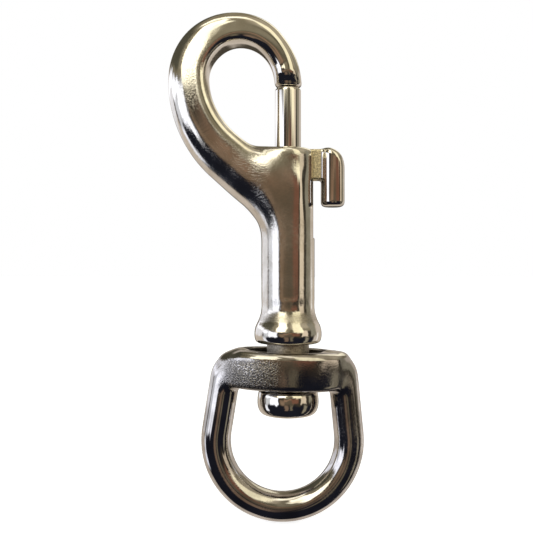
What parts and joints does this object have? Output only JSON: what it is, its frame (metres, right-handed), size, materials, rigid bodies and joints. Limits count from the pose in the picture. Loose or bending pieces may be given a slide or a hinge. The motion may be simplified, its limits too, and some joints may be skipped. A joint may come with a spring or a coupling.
{
  "type": "snap shackle",
  "caption": "Swivel-eye bolt snap: cast hook closed by a spring-loaded bolt with a thumb latch, and a D-shaped eye that swivels on a headed stud under the barrel.",
  "frame": {"origin": "on the swivel axis, level with the centre of the eye's round end", "axes": "+Z along the barrel from the eye to the hook, +X towards the thumb latch, +Y across the flat of the hook"},
  "size_m": [0.0369, 0.014, 0.0957],
  "materials": {
    "body_steel": "tumble-polished cast stainless steel",
    "bolt_steel": "polished, with fine grinding rings",
    "latch_steel": "polished knob, as-cast arm",
    "spring_steel": "drawn wire",
    "stud_steel": "polished head, as-cast neck",
    "eye_steel": "polished wire, pitted crossbar"
  },
  "bodies": {
    "eye": {"swivel_eye": "eye_steel"},
    "hook": {"hook_body": "body_steel", "swivel_stud": "stud_steel", "return_spring": "spring_steel"},
    "bolt": {"bolt": "bolt_steel", "thumb_latch": "latch_steel"}
  },
  "joints": [
    {"name": "eye_swivel", "type": "hinge", "parent": "eye", "child": "hook", "pos_m": [0, 0, 0.0134], "axis": [0, 0, 1], "continuous": true},
    {"name": "bolt_slide", "type": "slide", "parent": "hook", "child": "bolt", "axis": [0, 0, -1], "range_m": [0, 0.0105], "stiffness_N_per_m": 350, "springref_m": -0.012, "deforming": ["return_spring"]}
  ]
}
